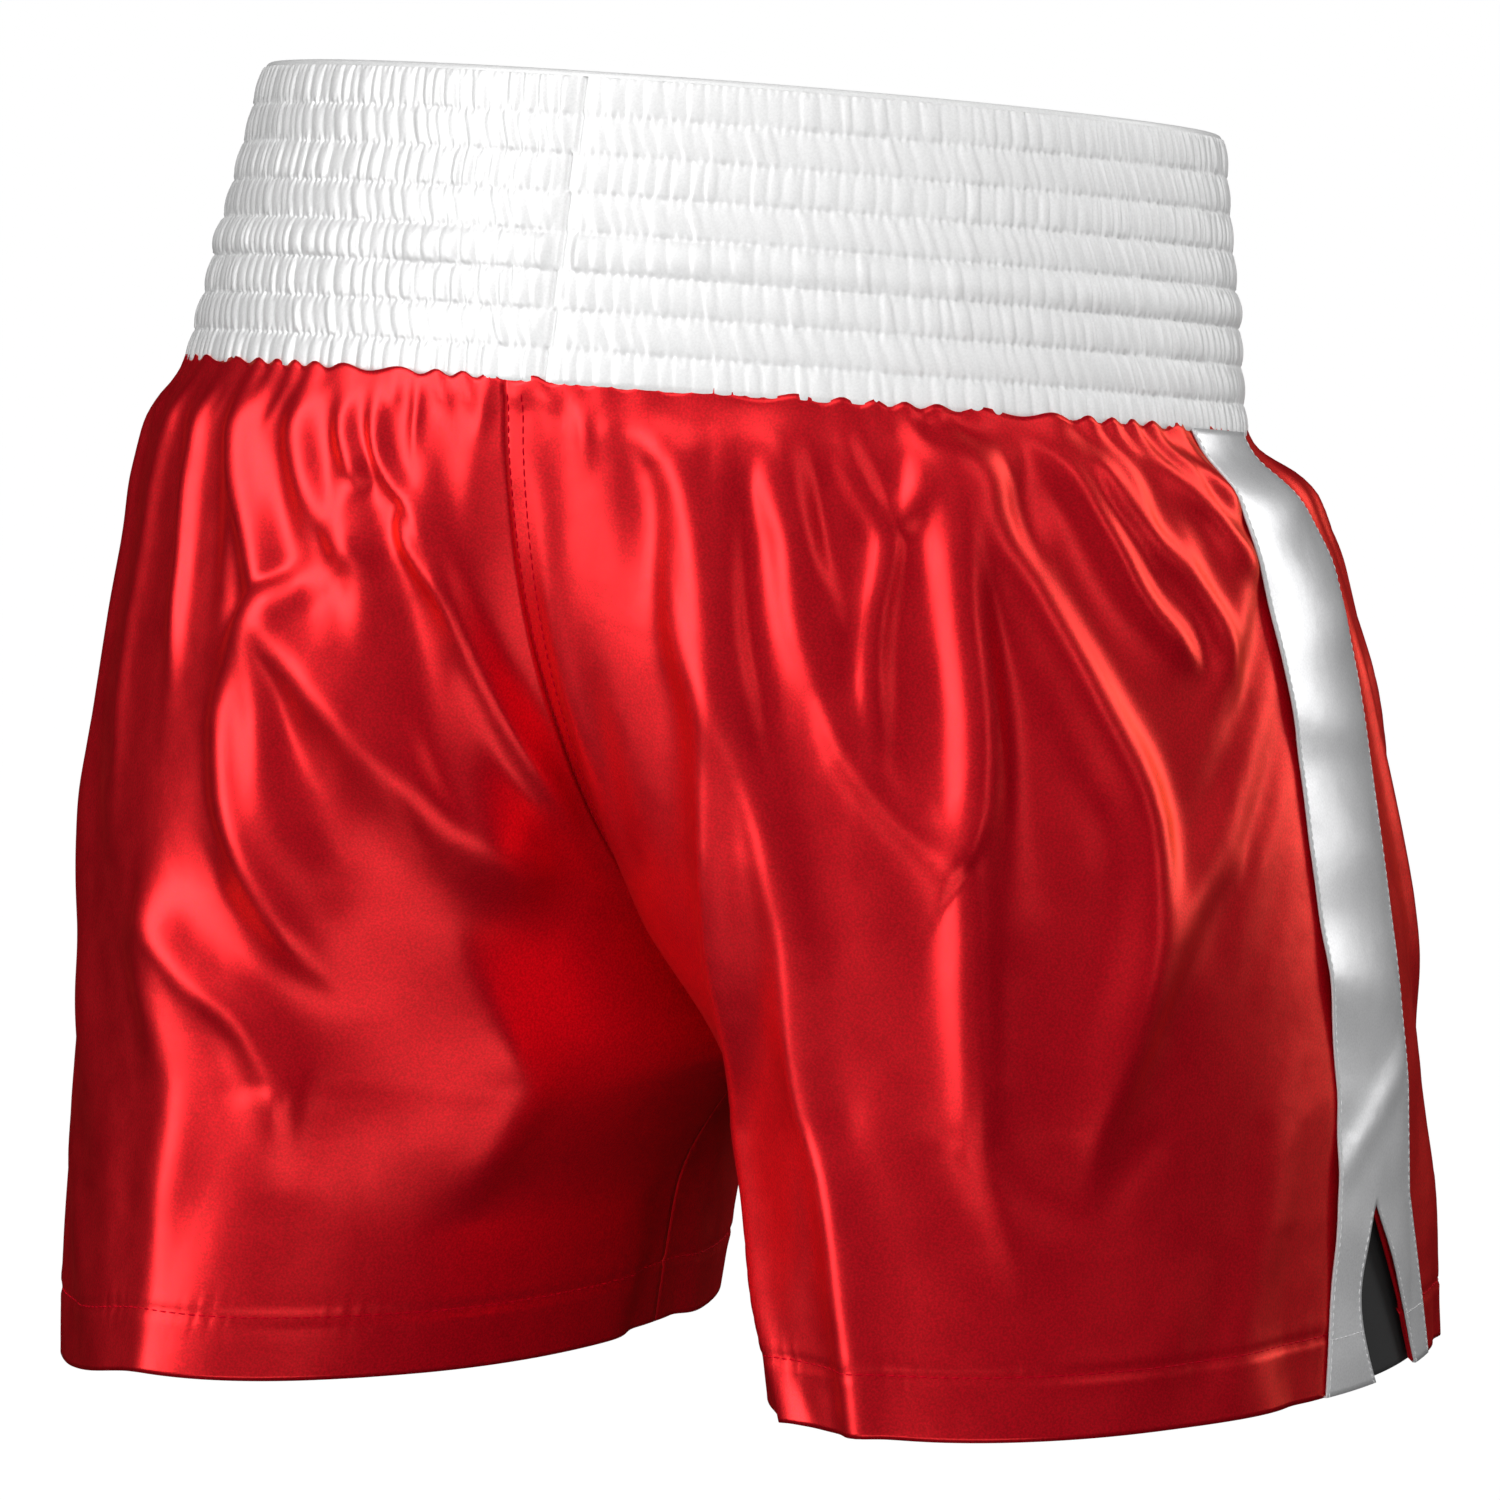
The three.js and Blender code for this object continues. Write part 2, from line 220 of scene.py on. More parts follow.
def billows(z, along, seed):
    """Broad shallow swells in the loose lower part of a panel."""
    rng = np.random.default_rng(seed)
    drop = SEAM_Z - z
    swell = np.zeros(np.broadcast_shapes(z.shape, along.shape))
    for _ in range(BILLOWS):
        across = (along - rng.uniform(0.03, 0.47)) * HALF_GIRTH
        below = drop - rng.uniform(0.10, 0.30)
        turn = rng.uniform(-1.0, 1.0)
        width = rng.uniform(0.010, 0.020)
        length = rng.uniform(0.020, 0.045)
        u = across * math.cos(turn) - below * math.sin(turn)
        v = across * math.sin(turn) + below * math.cos(turn)
        swell += rng.uniform(-0.0022, 0.0034) * np.exp(-(u / width) ** 2 - (v / length) ** 2)
    return swell * smooth_step((along - SEAT_EDGE) / 0.08)


def smooth_path(path, count):
    """Catmull-Rom points through a path."""
    padded = np.vstack([2 * path[0] - path[1], path, 2 * path[-1] - path[-2]])
    t = np.linspace(0, len(path) - 1 - 1e-9, count)
    i = t.astype(int)
    f = (t - i)[:, None]
    a, b, c, d = padded[i], padded[i + 1], padded[i + 2], padded[i + 3]
    square, cube = 2 * a - 5 * b + 4 * c - d, 3 * b - a - 3 * c + d
    return 0.5 * (2 * b + (c - a) * f + square * f ** 2 + cube * f ** 3)


def nearest_on_path(points, spine):
    """Each point's distance to a polyline, and how far along the polyline that is, from 0 to 1."""
    starts, steps = spine[:-1], np.diff(spine, axis=0)
    lengths = np.maximum((steps ** 2).sum(1), 1e-12)
    apart = points[:, None, :] - starts[None]
    t = np.clip((apart * steps).sum(-1) / lengths, 0, 1)
    distance = np.linalg.norm(apart - t[..., None] * steps, axis=-1)
    best = distance.argmin(1)
    rows = np.arange(len(points))
    return distance[rows, best], (best + t[rows, best]) / len(steps)


PATH_POINTS = 30
FOLD_REACH = 3.5  # how many widths out from its path a fold is worked out
FROM_SEAM_MM = 5  # a fold that starts above this drop comes out of the seam at its full height
TO_HEM_MM = 290  # a fold that ends below this drop runs into the hem at its full height
FOLD_STEEPNESS = 1.3
CREST = 0.35  # the half width of the rounded crest, in widths of the fold


def fold_heights(points, folds, from_front):
    """How far each grid point is pushed out by the folds."""
    push = np.zeros(points.shape[:2])
    for one in folds:
        path = smooth_path(one["path"], PATH_POINTS)
        path_along = 1 - path[:, 0] if from_front else path[:, 0]
        spine = surface(SEAM_Z - path[:, 1] * MM, path_along)
        reach = FOLD_REACH * one["width"] * MM
        low, high = spine.min(0) - reach, spine.max(0) + reach
        near = np.all((points > low) & (points < high), axis=-1)
        if not near.any():
            continue
        distance, t = nearest_on_path(points[near], spine)
        d = distance / (one["width"] * MM)
        start, end = one["ends"]
        rise = smooth_step(t / start) if one["path"][0, 1] > FROM_SEAM_MM else 1.0
        fade = smooth_step((1 - t) / end) if one["path"][-1, 1] < TO_HEM_MM else 1.0
        profile = np.exp(-FOLD_STEEPNESS * (np.hypot(d, CREST) - CREST))
        push[near] += one["height"] * MM * rise * fade * profile
    return push


# ---------------------------------------------------------------- meshes
def make_mesh(name, vertices, faces, smooth=True):
    """A mesh object in the scene."""
    mesh = bpy.data.meshes.new(name)
    mesh.from_pydata([tuple(v) for v in vertices], [], [tuple(f) for f in faces])
    mesh.validate()
    piece = bpy.data.objects.new(name, mesh)
    bpy.context.scene.collection.objects.link(piece)
    if smooth:
        mesh.polygons.foreach_set("use_smooth", [True] * len(mesh.polygons))
    return piece


def grid_faces(rows, columns, flip=False, wrap=False):
    """The quads of a grid. flip turns them over, and wrap joins the last column to the first."""
    i, j = np.meshgrid(np.arange(rows - 1), np.arange(columns if wrap else columns - 1), indexing="ij")
    k = (j + 1) % columns
    quads = np.stack([i * columns + j, i * columns + k, (i + 1) * columns + k, (i + 1) * columns + j], -1)
    quads = quads.reshape(-1, 4)
    return quads[:, ::-1] if flip else quads


def apply_modifiers(piece):
    """Makes the mesh what its modifiers show."""
    depsgraph = bpy.context.evaluated_depsgraph_get()
    mesh = bpy.data.meshes.new_from_object(piece.evaluated_get(depsgraph))
    old = piece.data
    piece.modifiers.clear()
    piece.data = mesh
    mesh.name = old.name
    bpy.data.meshes.remove(old)


def thicken(piece, thickness):
    """Gives a sheet its thickness, on the inner side."""
    modifier = piece.modifiers.new("thickness", "SOLIDIFY")
    modifier.thickness = thickness
    modifier.offset = -1
    modifier.use_even_offset = False
    apply_modifiers(piece)


# ---------------------------------------------------------------- cloth simulation
SETTLE_FRAMES = 10
MOST_MOVE = 0.0045  # the longest move that settling can give a point
HOLD_LEVELS = 20
FORM_STEP = 0.006
FORM_COLUMNS = 90
FORM_INSET = 0.0025  # how far inside the garment surface the form lies


def add_form():
    """A form inside the shorts, which the cloth rests on while it settles."""
    z = np.arange(SEAM_Z + 0.004, HEM_Z - 0.02, -FORM_STEP)[:, None]
    along = np.linspace(0, 1, FORM_COLUMNS)[None, :]
    points = surface(z, along)
    points -= grid_normals(points) * FORM_INSET
    rows, columns = points.shape[:2]
    left = points.reshape(-1, 3)
    faces = grid_faces(rows, columns)
    mirrored = left * (-1, 1, 1)
    form = make_mesh("form", np.concatenate([left, mirrored]),
                     np.concatenate([faces, faces[:, ::-1] + len(left)]))
    form.modifiers.new("collision", "COLLISION")
    form.collision.thickness_outer = 0.001
    form.collision.cloth_friction = 20
    return form


def settle(points, free, flip):
    """Lets a grid of cloth hang under its weight, and gives each point's move.

    free runs from 0, where the cloth is sewn down, to 1. The simulation runs on every second row and
    column, and its moves are spread smoothly over the whole grid.
    """
    coarse = points[::2, ::2]
    rows, columns = coarse.shape[:2]
    piece = make_mesh("settling", coarse.reshape(-1, 3), grid_faces(rows, columns, flip=flip))
    group = piece.vertex_groups.new(name="held")
    levels = np.rint((1 - free[::2, ::2].ravel()) * HOLD_LEVELS).astype(int)
    for level in range(1, HOLD_LEVELS + 1):
        members = np.nonzero(levels == level)[0]
        if len(members):
            group.add(members.tolist(), level / HOLD_LEVELS, "REPLACE")
    modifier = piece.modifiers.new("cloth", "CLOTH")
    cloth = modifier.settings
    cloth.quality = 6
    cloth.mass = 0.1
    cloth.vertex_group_mass = "held"
    cloth.pin_stiffness = 2.0
    cloth.tension_stiffness = 20
    cloth.compression_stiffness = 20
    cloth.shear_stiffness = 8
    cloth.bending_stiffness = 12
    cloth.shrink_min = -0.001
    cloth.air_damping = 2
    modifier.collision_settings.distance_min = 0.001
    modifier.collision_settings.use_self_collision = False
    modifier.point_cache.frame_start = 1
    modifier.point_cache.frame_end = SETTLE_FRAMES
    scene = bpy.context.scene
    for number in range(1, SETTLE_FRAMES + 1):
        scene.frame_set(number)
    settled = piece.evaluated_get(bpy.context.evaluated_depsgraph_get()).data
    after = np.empty(3 * rows * columns)
    settled.vertices.foreach_get("co", after)
    move = after.reshape(rows, columns, 3) - coarse
    scene.frame_set(1)
    bpy.data.objects.remove(piece)
    length = np.maximum(np.linalg.norm(move, axis=-1, keepdims=True), 1e-9)
    move *= MOST_MOVE * np.tanh(length / MOST_MOVE) / length
    return spread(move, points.shape)


def spread(coarse, shape):
    """Interpolates a grid of vectors given at every second row and column, and smooths it a little."""
    i = np.linspace(0, coarse.shape[0] - 1, shape[0])
    j = np.linspace(0, coarse.shape[1] - 1, shape[1])
    down = np.stack([[np.interp(i, np.arange(coarse.shape[0]), coarse[:, c, k])
                      for c in range(coarse.shape[1])] for k in range(3)], -1)
    full = np.stack([[np.interp(j, np.arange(coarse.shape[1]), down[:, r, k])
                      for r in range(shape[0])] for k in range(3)], -1)
    for _ in range(2):
        full[1:-1] = 0.25 * full[:-2] + 0.5 * full[1:-1] + 0.25 * full[2:]
        full[:, 1:-1] = 0.25 * full[:, :-2] + 0.5 * full[:, 1:-1] + 0.25 * full[:, 2:]
    return full


# ---------------------------------------------------------------- materials
SATIN_COAT_ROUGHNESS = 0.27
ROUGHNESS_DRIFT = 0.06
WEAVE = 0.10
WAVER = 0.12


def new_material(name):
    """A material, its node tree and its shader."""
    material = bpy.data.materials.new(name)
    material.use_nodes = True
    return material, material.node_tree, material.node_tree.nodes["Principled BSDF"]


def node(tree, kind, **values):
    """A new node. Each value sets the property of that name, or else the input of that name.

    Underscores stand for the spaces in an input's name.
    """
    made = tree.nodes.new(kind)
    for key, value in values.items():
        if hasattr(made, key):
            setattr(made, key, value)
        else:
            made.inputs[key.replace("_", " ")].default_value = value
    return made


def noise(tree, coordinates, scale, detail):
    """The value of a noise texture."""
    made = node(tree, "ShaderNodeTexNoise", Scale=scale, Detail=detail)
    tree.links.new(coordinates, made.inputs["Vector"])
    return made.outputs["Fac"]


def satin(name, dark, light, edge, gloss, metallic, roughness, coat):
    """Satin: a coloured gloss over a deep ground, with a fine grain and faint slubs."""
    material, tree, shader = new_material(name)
    coordinates = node(tree, "ShaderNodeTexCoord").outputs["Object"]
    ramp = node(tree, "ShaderNodeValToRGB")
    ramp.color_ramp.elements[0].color = (*dark, 1)
    ramp.color_ramp.elements[1].color = (*light, 1)
    ramp.color_ramp.elements[0].position = 0.3
    ramp.color_ramp.elements[1].position = 0.7
    tree.links.new(noise(tree, coordinates, 1400, 1.0), ramp.inputs["Fac"])
    tree.links.new(ramp.outputs["Color"], shader.inputs["Base Color"])
    shader.inputs["Metallic"].default_value = metallic
    shader.inputs["Specular Tint"].default_value = (*edge, 1)
    shader.inputs["Specular IOR Level"].default_value = gloss
    shader.inputs["Coat Weight"].default_value = coat
    shader.inputs["Coat Roughness"].default_value = SATIN_COAT_ROUGHNESS
    rough = node(tree, "ShaderNodeMapRange")
    rough.inputs["To Min"].default_value = roughness - ROUGHNESS_DRIFT
    rough.inputs["To Max"].default_value = roughness + ROUGHNESS_DRIFT
    tree.links.new(noise(tree, coordinates, 90, 3.0), rough.inputs["Value"])
    tree.links.new(rough.outputs["Result"], shader.inputs["Roughness"])
    grain = node(tree, "ShaderNodeBump", Strength=WEAVE, Distance=0.0002)
    tree.links.new(noise(tree, coordinates, 2600, 1.0), grain.inputs["Height"])
    waver = node(tree, "ShaderNodeBump", Strength=WAVER, Distance=0.001)
    tree.links.new(noise(tree, coordinates, 130, 2.0), waver.inputs["Height"])
    tree.links.new(waver.outputs["Normal"], grain.inputs["Normal"])
    tree.links.new(grain.outputs["Normal"], shader.inputs["Normal"])
    return material


RED_SATIN = satin("red_satin", dark=(0.70, 0.0, 0.014), light=(0.96, 0.0, 0.023), edge=(1, 0.9, 0.4),
                  gloss=1.0, metallic=0.70, roughness=0.38, coat=0.08)
WHITE_SATIN = satin("white_satin", dark=(0.81, 0.81, 0.81), light=(0.87, 0.87, 0.87), edge=(1, 1, 1),
                    gloss=0.3, metallic=0.1, roughness=0.42, coat=0.04)
STRIPE_SATIN = satin("stripe_satin", dark=(0.78, 0.78, 0.79), light=(0.88, 0.88, 0.89), edge=(1, 1, 1),
                     gloss=0.5, metallic=0.4, roughness=0.34, coat=0.3)


def vent_shade_material():
    """A matt charcoal for the sheet behind the vents: painted shade, standing for the dark inside of the
    leg seen through each vent.
    """
    material, tree, shader = new_material("charcoal_lining")
    coordinates = node(tree, "ShaderNodeTexCoord").outputs["Object"]
    ramp = node(tree, "ShaderNodeValToRGB")
    # The near-black ramp is painted shade for the inside of the leg behind the vent.
    ramp.color_ramp.elements[0].color = (0.018, 0.018, 0.018, 1)
    ramp.color_ramp.elements[1].color = (0.032, 0.032, 0.032, 1)
    tree.links.new(noise(tree, coordinates, 1600, 1.0), ramp.inputs["Fac"])
    tree.links.new(ramp.outputs["Color"], shader.inputs["Base Color"])
    shader.inputs["Roughness"].default_value = 0.9
    return material


VENT_SHADE = vent_shade_material()

# ---------------------------------------------------------------- body panels
ROW_STEP = 0.002
COLUMNS = 170
HEM_TURN = 0.020
HEM_GAP = 0.0012  # from the hem's outer face to the turned layer
CLOTH = 0.0006
SIDE_GAP = 0.0002
SEAM_LIFT = 0.0016  # how far the cloth rides out over the seam allowance at the waist
FOLD_LIMIT_AT_WAIST = 0.0018
FOLD_LIMIT_BELOW = 0.012  # what the limit grows by below the waist
WAIST_SCALLOPS = 36  # waves of the upper edge between the centre back and the centre front
HEM_PUCKERS = 150  # counted the same way
HEM_GROOVE = 0.0007
HEM_RIPPLE = 0.00045
GIVEN_BACK = 0.5
VENT_HEIGHT = 0.056
VENT_TOP = 0.0016
VENT_BACK_BOW = 0.0100
VENT_SWING = 0.040
STRIPE_HALF = 0.028
STRIPE_WAIST_HALF = 0.016
STRIPE_MARGIN = 0.004  # the panel is flat this far beyond the stripe, as a step of along
STRIPE_EASE = 0.05  # the step of along over which its folds then rise
# How far the hang of the shorts is from even.
SEAM_ASIDE = 0.0105
LEFT_TUCK = 0.0035
LEGS_APART = 0.014
LEFT_DROOP = 0.009
# How much further the stripe's edges lie from the side line, at these depths below the waist seam.
STRIPE_DROPS = (0.0, 0.04, 0.10, 0.20, 0.25, 0.296)
STRIPE_BACK = (0.002, 0.0, -0.005, -0.005, 0.0, 0.006)
STRIPE_FRONT = (0.010, 0.014, 0.014, 0.010, 0.008, 0.007)


def vent_edges(z):
    """How far the vent's back edge lies behind the side line at a height, and its front edge before it."""
    t = np.clip((HEM_Z + VENT_HEIGHT - z) / VENT_HEIGHT, 0, 1)
    back = np.where(t > 0, VENT_TOP * (1 - t) + 4 * VENT_BACK_BOW * t * (1 - t), 0)
    front = np.where(t > 0, VENT_TOP * (1 - t) + VENT_SWING * t, 0)
    return back, front


def along_step(z, length):
    """The step of the along value that a length of cloth takes at the side."""
    half_depth = np.interp(-z, TABLE_Z, TABLE_ROWS[1])
    reach = np.arccos(-closure(z))
    return length / (2 * reach * half_depth)


def at_waist_seam(z):
    """1 at the waist seam and above it, falling to 0 about a centimetre below."""
    return np.exp(-(np.maximum(SEAM_Z - z, 0) / 0.005) ** 2)


def body_heights():
    """The heights of a panel's rows, from just inside the waist seam to the hem."""
    return np.concatenate([[SEAM_Z + 0.0015], np.arange(SEAM_Z - 0.0004, HEM_Z, -ROW_STEP), [HEM_Z]])


def beyond_stripe(z, along):
    """0 where a front panel lies flat under the stripe, rising to 1 beyond the stripe's edge."""
    edge = along_step(z, stripe_halves(z)[1])
    return smooth_step((np.abs(along - 0.5) - edge - STRIPE_MARGIN) / STRIPE_EASE)


def panel_grid(front, folds, seed):
    """The sculpted grid of one panel of the left half, and its outward normals."""
    z = body_heights()[:, None]
    t = np.linspace(0, 1, COLUMNS)[None, :]
    vent = along_step(z, vent_edges(z)[1 if front else 0])
    along = t * (0.5 - vent - along_step(z, SIDE_GAP))
    if front:
        along = 1 - along
    points = surface(z, along)
    normals = -grid_normals(points) if front else grid_normals(points)
    push = fold_heights(points, folds + gather_folds(seed), front)
    push += billows(z, 1 - along if front else along, seed + 30)
    # The folds are low just under the waist seam, beside the side line and at the centre seams.
    most = FOLD_LIMIT_AT_WAIST + FOLD_LIMIT_BELOW * smooth_step((SEAM_Z - z - 0.002) / 0.03)
    push = most * np.tanh(push / most)
    push *= 0.45 + 0.55 * smooth_step((SEAM_Z - z) / 0.006)
    push *= beyond_stripe(z, along) if front else smooth_step((np.abs(along - 0.5) - 0.03) / 0.03)
    push *= 0.25 + 0.75 * smooth_step(np.minimum(along, 1 - along) / 0.014)
    # The row of hem stitches pulls a groove into the cloth, with puckers above and below it.
    from_stitches = z - (HEM_Z + HEM_TURN)
    pucker = np.sin(2 * math.pi * along * HEM_PUCKERS + 3 * np.sin(along * 90)) * 0.5 + 0.5
    push -= np.exp(-(from_stitches / 0.0012) ** 2) * HEM_GROOVE
    near_hem = np.exp(-(from_stitches / 0.005) ** 2)
    push += near_hem * pucker * HEM_RIPPLE * smooth_step(np.abs(along - 0.5) / 0.03)
    points = points + normals * push[..., None]
    points += normals * SEAM_LIFT * at_waist_seam(z)[..., None]
    wander = 0.5 * np.sin(along * 37 + seed)
    scallop = 0.0010 + 0.0010 * np.sin(2 * math.pi * (along * WAIST_SCALLOPS + wander))
    points[..., 2] += scallop * np.exp(-np.maximum(SEAM_Z - z, 0) / 0.006)
    points[..., 0] = np.maximum(points[..., 0], CENTRE_GAP)
    return points, normals, along


def hang(points):
    """Moves points in place, for shorts that hang a little unevenly.

    The back seam leaves the waistband to the wearer's left, the left side is slimmer and its hem is
    lower, and at the back the crotch and the right leg's inner side hang away from the left leg.
    """
    x, y, z = points[..., 0].copy(), points[..., 1], points[..., 2].copy()
    drop = SEAM_Z - z
    high = 1 - smooth_step(drop / 0.21)
    aside = SEAM_ASIDE * high * np.clip(y / 0.06, 0, 1) * np.exp(-(x / 0.05) ** 2)
    tucked = LEFT_TUCK * smooth_step((x - 0.06) / 0.12) * smooth_step(drop / 0.05)
    below = smooth_step((drop - 0.15) / 0.05) * (1 - 0.6 * smooth_step((drop - 0.225) / 0.07))
    with_left = np.where(x < 0, 1, 1 - smooth_step((drop - CROTCH_DROP) / 0.05))
    apart = LEGS_APART * below * np.exp(-(x / 0.06) ** 2) * with_left * smooth_step((y + 0.06) / 0.07)
    points[..., 0] = x + aside - tucked - apart
    points[..., 2] = z - LEFT_DROOP * smooth_step((x - 0.14) / 0.06) * smooth_step((drop - 0.16) / 0.13)


# Over these shares of its width and this height a panel comes free of its seams.
FREE_OF_SIDE = 0.16
FREE_OF_CENTRE = 0.05
FREE_OF_WAIST = 0.02


def freedom(rows):
    """How free each point of a panel is: it is sewn down at the waist, the side and the centre seams."""
    t = np.linspace(0, 1, COLUMNS)[None, :]
    down = np.arange(rows)[:, None] * ROW_STEP
    return (smooth_step((1 - t) / FREE_OF_SIDE) * smooth_step(t / FREE_OF_CENTRE)
            * smooth_step(down / FREE_OF_WAIST))


def build_panel(name, cad_node, front, right, folds, seed):
    """Builds a panel with its turned hem, and gives the grid of its outer face and its normals."""
    points, normals, along = panel_grid(front, folds, seed)
    free = freedom(len(points))
    if front:
        free = free * beyond_stripe(body_heights()[:, None], along)
    points = points + settle(points, free, flip=front)
    points[..., 0] = np.maximum(points[..., 0], CENTRE_GAP)
    normals = -grid_normals(points) if front else grid_normals(points)
    # The settling softens the main folds, so a part of each is given back.
    again = GIVEN_BACK * fold_heights(points, folds, front) * free
    points = points + normals * again[..., None]
    turn_rows = int(HEM_TURN / ROW_STEP)
    turned = slice(-2, -2 - turn_rows, -1)
    inside = points[turned] - normals[turned] * HEM_GAP
    full = np.concatenate([points, inside])
    if right:
        full *= (-1, 1, 1)
    hang(full)
    rows, columns = full.shape[:2]
    piece = make_mesh(name, full.reshape(-1, 3), grid_faces(rows, columns, flip=front != right))
    thicken(piece, CLOTH)
    piece.data.materials.append(RED_SATIN)
    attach(piece, "root")
    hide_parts(cad_node)
    outer = full[:len(points)]
    return outer, grid_normals(outer) * (-1 if front != right else 1)


# ---------------------------------------------------------------- side stripe and vent inset
STRIPE_SEED = 41
STRIPE_LIFT = 0.0011
STRIPE_LENGTH = 0.30
WAVE_SPACING = 0.024
STRIPE_STEPS = 16  # columns from the stripe's middle to each of its edges
FRONT_SWING = 0.65  # the share of the vent's swing that the stripe's front edge takes
INSET_DEPTH = 0.0028
INSET_OVERLAP = 0.010  # how far the inset reaches above the vent
INSET_BEHIND = 0.018  # how far the inset reaches behind the side line
INSET_WIDTH = 0.036
INSET_SWING = 0.034  # how much wider the inset is at the hem


def stripe_waves(z, across):
    """Long shallow waves across the stripe, which die out at its stitched edges."""
    rng = np.random.default_rng(STRIPE_SEED)
    drop = SEAM_Z - z
    wave = np.zeros(np.broadcast_shapes(z.shape, across.shape))
    for centre in np.arange(0.015, STRIPE_LENGTH, WAVE_SPACING):
        centre += rng.uniform(-0.008, 0.008)
        slant = rng.uniform(-0.02, 0.02)
        size = rng.uniform(0.007, 0.015)
        wave += rng.uniform(0.4, 1.7) * MM * np.exp(-((drop - centre + slant * across) / size) ** 2)
    return wave * (1 - across ** 4)


def stripe_halves(z):
    """How far the stripe's back and front edges lie from the side line."""
    drop = SEAM_Z - z
    half = STRIPE_WAIST_HALF + (STRIPE_HALF - STRIPE_WAIST_HALF) * smooth_step(drop / 0.036)
    back = half + np.interp(drop, STRIPE_DROPS, STRIPE_BACK)
    front = half + np.interp(drop, STRIPE_DROPS, STRIPE_FRONT)
    return back, front


def vent_share(z):
    """0 at the vent's top and above it, rising to 1 at the hem."""
    return np.clip((HEM_Z + VENT_HEIGHT - z) / VENT_HEIGHT, 0, 1)


def build_stripe(name, cad_node, right):
    """Builds a stripe with its vent, and gives its outer face, its normals and the vent's first row."""
    z = np.concatenate([[SEAM_Z + 0.0022], np.arange(SEAM_Z, HEM_Z, -ROW_STEP), [HEM_Z]])[:, None]
    back_half, front_half = stripe_halves(z)
    back, front = vent_edges(z)
    swing = FRONT_SWING * VENT_SWING * vent_share(z)
    step = np.linspace(0, 1, STRIPE_STEPS)[None, :]
    behind = 0.5 - along_step(z, back_half + (np.maximum(back, 1e-5) - back_half) * step)
    before = 0.5 + along_step(z, np.maximum(front, 1e-5) + (front_half + swing - front) * step)
    along = np.concatenate([behind, before], axis=1)
    across = (along - 0.5) / along_step(z, front_half)
    points = surface(z, along)
    even_steps = np.linspace(-1, 1, 2 * STRIPE_STEPS)[None, :]
    normals = grid_normals(surface(z, 0.5 + along_step(z, front_half) * even_steps))
    lift = STRIPE_LIFT + stripe_waves(z, np.clip(across, -1, 1))
    lift = lift + SEAM_LIFT * at_waist_seam(z)
    points = points + normals * lift[..., None]
    rows, columns = points.shape[:2]
    vertices = points.reshape(-1, 3).copy()
    if right:
        vertices[:, 0] *= -1
    hang(vertices)
    # Below the vent's top, the faces that would join the two halves are left out.
    open_row = int(np.argmax(back[:, 0] > 0))
    faces = [face for k, face in enumerate(grid_faces(rows, columns, flip=right))
             if k % (columns - 1) != columns // 2 - 1 or k // (columns - 1) + 1 < open_row]
    piece = make_mesh(name, vertices, faces)
    thicken(piece, CLOTH)
    piece.data.materials.append(STRIPE_SATIN)
    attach(piece, "root")
    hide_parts(cad_node)
    outer = vertices.reshape(rows, columns, 3)
    return outer, grid_normals(outer) * (-1 if right else 1), open_row


def build_inset(name, cad_node, right):
    """Builds the dark sheet behind a vent, painted shade for the shadowed inside of the leg seen through
    it.
    """
    z = np.linspace(HEM_Z + VENT_HEIGHT + INSET_OVERLAP, HEM_Z + 0.0005, 34)[:, None]
    step = np.linspace(0, 1, 28)[None, :]
    along = 0.5 + along_step(z, -INSET_BEHIND + (INSET_WIDTH + INSET_SWING * vent_share(z)) * step)
    points = surface(z, along)
    points = points - grid_normals(points) * INSET_DEPTH
    rows, columns = points.shape[:2]
    vertices = points.reshape(-1, 3).copy()
    if right:
        vertices[:, 0] *= -1
    hang(vertices)
    piece = make_mesh(name, vertices, grid_faces(rows, columns, flip=right))
    thicken(piece, CLOTH)
    # Its near-black colour is painted shade inside the vent.
    piece.data.materials.append(VENT_SHADE)
    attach(piece, "root")
    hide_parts(cad_node)


# ---------------------------------------------------------------- waistband
BAND_HEIGHT = 0.096
CHANNELS = 8
BAND_COLUMNS = 1640
PLEATS = 176
BAND_HALF = 0.0014  # half the thickness of the band with its elastic
TOP_ROUND = 0.0016  # how far the rounded top fold rises
BROAD_WAVES = 22
PLEAT_POWER = 0.6  # below 1, for round pleats with sharp creases between them
CROWN_POWER = 0.75
SEAM_ANGLE = -0.02
SEAM_HALF = 0.0045
SEAM_WANDER = 0.0015
SEAM_GROOVE = 1.6  # in millimetres
SEAM_GROOVE_HALF = 0.0005
LAST_ROW = 0.3  # what is left of the band's thickness and pleats in its last row, at the body
CHANNEL_SWELL = [0.5, 0.5, 0.6, 0.7, 1.6, 0.9, 0.8, 0.7]  # in millimetres
CHANNEL_ROWS = [0.0, 0.07, 0.2, 0.36, 0.52, 0.68, 0.82, 0.94]  # as shares of a channel's height


def band_surface(down, angle, offset):
    """Points of the band. down runs from 0 at its top to 1 at its seam, and the angle from the back."""
    top, bottom = np.array(BAND_TOP), np.array(BAND_BOTTOM)
    half_width, half_depth, centre_y, tilt = (top[k] + (bottom[k] - top[k]) * down for k in range(4))
    nx, ny = np.sin(angle) / half_width, np.cos(angle) / half_depth
    length = np.hypot(nx, ny)
    x = half_width * np.sin(angle) + offset * nx / length
    y_middle = centre_y + half_depth * np.cos(angle)
    return np.stack([x, y_middle + offset * ny / length, -BAND_HEIGHT * down + tilt * y_middle], -1)


def random_wave(rng, crests, angle):
    """A smooth periodic wave round the band between -1 and 1 with about this many crests."""
    knots = rng.uniform(0.3, 1, 2 * crests) * np.tile([1, -1], crests)
    where = (angle / (2 * math.pi) % 1) * 2 * crests
    i = where.astype(int) % (2 * crests)
    f = smooth_step(where - where.astype(int))
    return knots[i] * (1 - f) + knots[(i + 1) % (2 * crests)] * f


